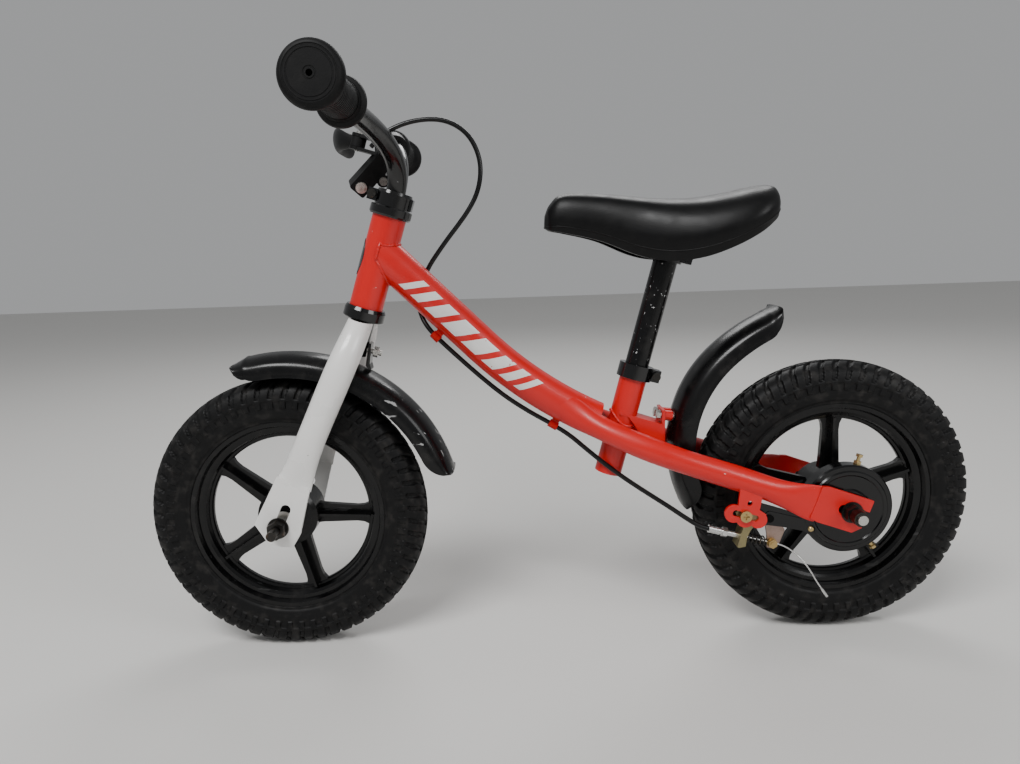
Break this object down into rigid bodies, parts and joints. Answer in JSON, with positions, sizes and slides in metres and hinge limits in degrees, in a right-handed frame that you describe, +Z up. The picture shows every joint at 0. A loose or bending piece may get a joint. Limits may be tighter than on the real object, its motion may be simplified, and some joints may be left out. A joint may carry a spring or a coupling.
{
  "type": "balance bike",
  "caption": "Small child's balance bike with a rear band brake: red steel frame, white fork, moulded black wheels, low foam saddle and mudguards.",
  "frame": {"origin": "on the ground, midway between the two axles", "axes": "+X to the rear, -Y to the rider's left side (where the brake is), +Z up"},
  "size_m": [0.881, 0.485, 0.5685],
  "materials": {
    "frame_red": "satin red paint with weld beads and small chips",
    "fork_white": "gloss white paint, slightly dirty",
    "black_metal": "gloss black paint, worn at edges",
    "rim_black": "moulded gloss black",
    "tyre_rubber": "matt black foam rubber with lugs",
    "grip_rubber": "matt black",
    "saddle_foam": "satin black skin",
    "base_plastic": "matt black",
    "guard_plastic": "semi-gloss black, scratched",
    "guide_red": "gloss red",
    "lever_black": "satin black",
    "housing_black": "satin black sheath",
    "wire_steel": "bright stranded",
    "spring_steel": "dark",
    "zinc_steel": "bright zinc plate",
    "zinc_yellow": "yellow zinc plate",
    "adjuster_silver": "knurled",
    "bearing_nylon": "plain",
    "drum_steel": "turned"
  },
  "bodies": {
    "frame": {"head_tube": "frame_red", "main_tube": "frame_red", "seat_tube": "frame_red", "chainstay_left": "frame_red", "chainstay_right": "frame_red", "mudguard_bridge": "frame_red", "brake_tab": "frame_red", "cable_guides": "guide_red", "headset_cups": "black_metal", "headset_bearings": "bearing_nylon", "seat_clamp": "black_metal", "seat_clamp_bolt": "zinc_steel", "rear_axle": "zinc_steel", "rear_axle_spacers": "zinc_steel", "rear_axle_nuts": "zinc_steel", "rear_mudguard": "guard_plastic", "rear_mudguard_bolts": "zinc_steel", "brake_cover": "black_metal", "brake_band": "zinc_steel", "brake_screws": "zinc_yellow", "cable_bracket": "zinc_yellow", "barrel_adjuster": "adjuster_silver", "reaction_bolt": "zinc_yellow", "cable_housing_frame": "housing_black", "brake_spring": "spring_steel"},
    "seat": {"seat_post": "black_metal", "saddle_pad": "saddle_foam", "saddle_base": "base_plastic", "saddle_clamp": "black_metal"},
    "steering": {"fork_steerer": "black_metal", "fork_leg_left": "fork_white", "fork_leg_right": "fork_white", "handlebar_clamp": "black_metal", "handlebar_clamp_bolt": "zinc_steel", "front_mudguard": "guard_plastic", "front_mudguard_bracket": "black_metal", "front_mudguard_bolt": "zinc_steel", "front_axle": "zinc_steel", "front_axle_spacers": "zinc_steel", "front_axle_nuts": "zinc_steel", "cable_housing_loop": "housing_black"},
    "handlebar": {"handlebar": "black_metal", "grip_left": "grip_rubber", "grip_right": "grip_rubber", "lever_bracket": "lever_black", "lever_screws": "zinc_steel", "cable_housing_bar": "housing_black"},
    "brake_lever": {"brake_lever": "lever_black"},
    "front_wheel": {"front_rim": "rim_black", "front_tyre": "tyre_rubber", "front_wheel_bearings": "bearing_nylon"},
    "rear_wheel": {"rear_rim": "rim_black", "rear_tyre": "tyre_rubber", "rear_wheel_bearings": "bearing_nylon", "brake_drum": "drum_steel"},
    "brake_arm": {"brake_arm": "zinc_yellow", "cable_anchor_bolt": "zinc_steel", "brake_wire": "wire_steel", "brake_wire_tail": "wire_steel", "brake_wire_cap": "adjuster_silver"}
  },
  "joints": [
    {"name": "seat_height", "type": "slide", "parent": "frame", "child": "seat", "axis": [0.2656, 0, 0.9641], "range_m": [-0.045, 0.03]},
    {"name": "steering", "type": "hinge", "parent": "frame", "child": "steering", "pos_m": [-0.318, 0, 0], "axis": [0.3123, 0, 0.95], "range_deg": [-60, 60], "deforming": ["cable_housing_loop"]},
    {"name": "handlebar_height", "type": "slide", "parent": "steering", "child": "handlebar", "axis": [0.3123, 0, 0.95], "range_m": [0, 0.03], "deforming": ["cable_housing_bar"]},
    {"name": "brake_lever", "type": "hinge", "parent": "handlebar", "child": "brake_lever", "pos_m": [-0.205, 0.059, 0.541], "axis": [-0.3123, 0, -0.95], "range_deg": [0, 14], "stiffness_Nm_per_rad": 1.5, "springref_deg": -5.73},
    {"name": "front_wheel", "type": "hinge", "parent": "steering", "child": "front_wheel", "pos_m": [-0.2925, 0, 0.148], "axis": [0, 1, 0], "continuous": true},
    {"name": "rear_wheel", "type": "hinge", "parent": "frame", "child": "rear_wheel", "pos_m": [0.2925, 0, 0.148], "axis": [0, 1, 0], "continuous": true},
    {"name": "brake_arm", "type": "hinge", "parent": "frame", "child": "brake_arm", "pos_m": [0.212, -0.044, 0.141], "axis": [0, 1, 0], "range_deg": [0, 9], "deforming": ["brake_spring", "brake_wire"]}
  ],
  "couplings": [
    {"joint": "brake_arm", "follows": "brake_lever", "ratio": 0.6}
  ]
}
